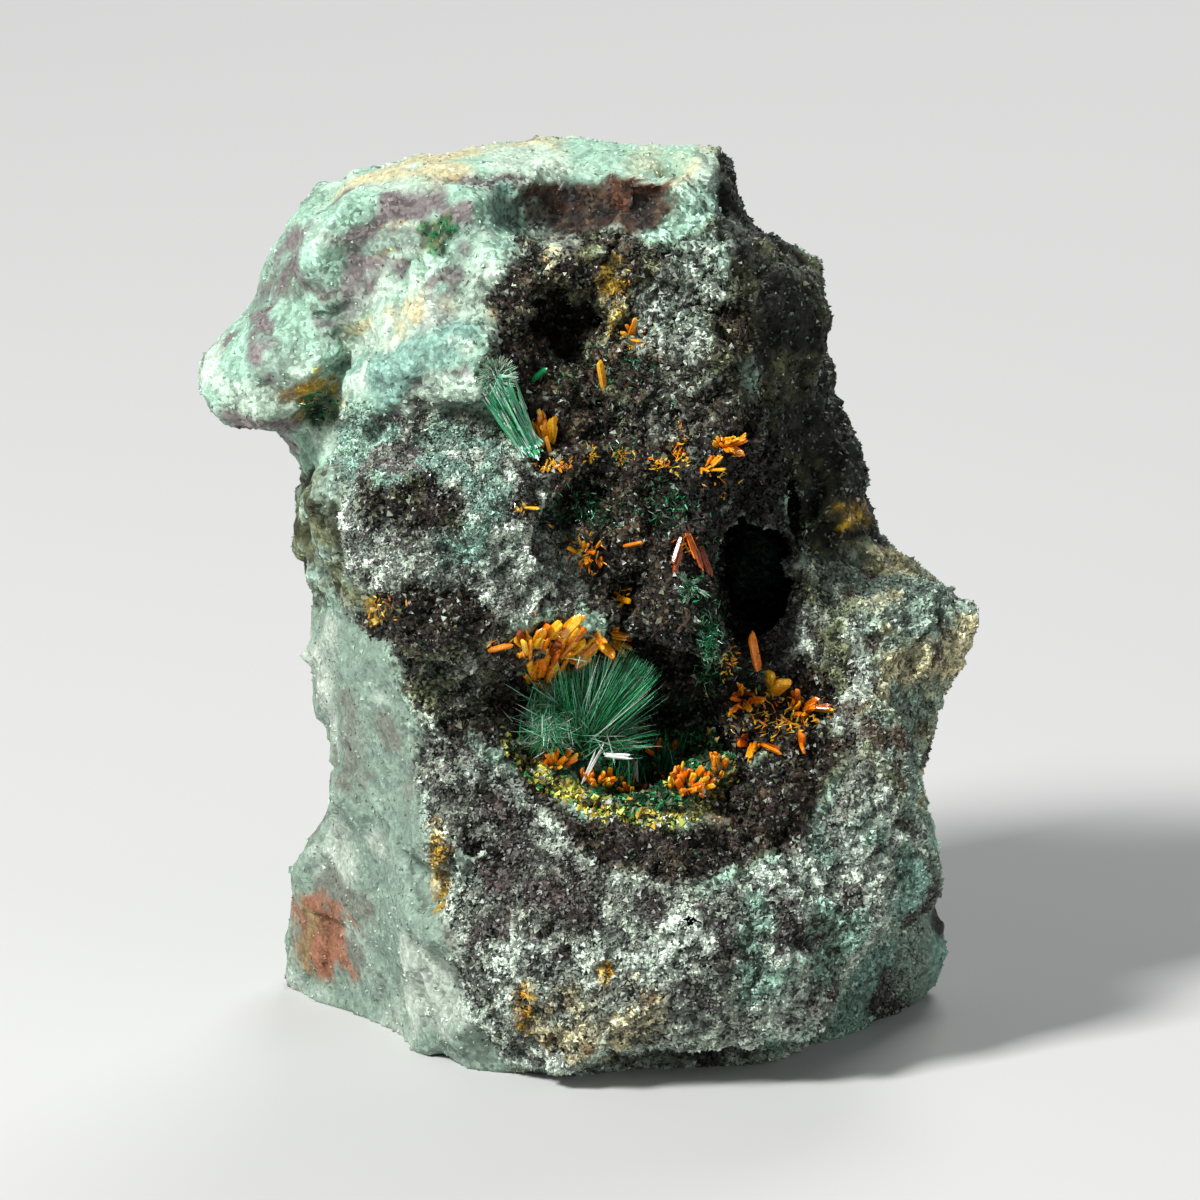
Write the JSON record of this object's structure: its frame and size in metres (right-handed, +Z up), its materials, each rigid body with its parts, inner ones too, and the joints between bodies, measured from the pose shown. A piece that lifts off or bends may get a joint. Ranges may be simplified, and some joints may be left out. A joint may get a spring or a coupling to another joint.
{
  "type": "mineral specimen, kasolite with malachite",
  "caption": "Small rough mineral specimen: pale green rock with a crystal pocket, a green needle spray and orange prisms, standing on a flat foot.",
  "frame": {"origin": "middle of the bounding box in x and y, on the flat foot", "axes": "+Z up, the crystal pocket faces -Y, +X to the right as seen from the front"},
  "size_m": [0.0322, 0.0242, 0.0371],
  "materials": {
    "rock": "rough broken copper-stained rock, pale seafoam green to grey, with a dark brown sparkling druse",
    "crust": "fine glittering yellow-green grains",
    "malachite": "silky green needles with pale tips",
    "kasolite": "glossy translucent amber-orange prisms"
  },
  "bodies": {
    "root": {"kasolite_beside_fan": "kasolite", "kasolite_bowtie": "kasolite", "kasolite_druse_blade": "kasolite", "kasolite_hanging": "kasolite", "kasolite_left_blade": "kasolite", "kasolite_lip_blade": "kasolite", "kasolite_low_blade": "kasolite", "kasolite_middle_cluster": "kasolite", "kasolite_prism": "kasolite", "kasolite_roof_cluster": "kasolite", "kasolite_roof_right": "kasolite", "kasolite_shelf_block": "kasolite", "kasolite_shelf_front": "kasolite", "kasolite_shelf_left": "kasolite", "kasolite_shelf_right": "kasolite", "kasolite_small_blade": "kasolite", "kasolite_strip": "kasolite", "kasolite_top_blades": "kasolite", "kasolite_upper_blade": "kasolite", "malachite_blade": "malachite", "malachite_fan": "malachite", "malachite_spray": "malachite", "malachite_tuft": "malachite", "matrix": "rock", "pocket_crust": "crust"}
  },
  "joints": []
}
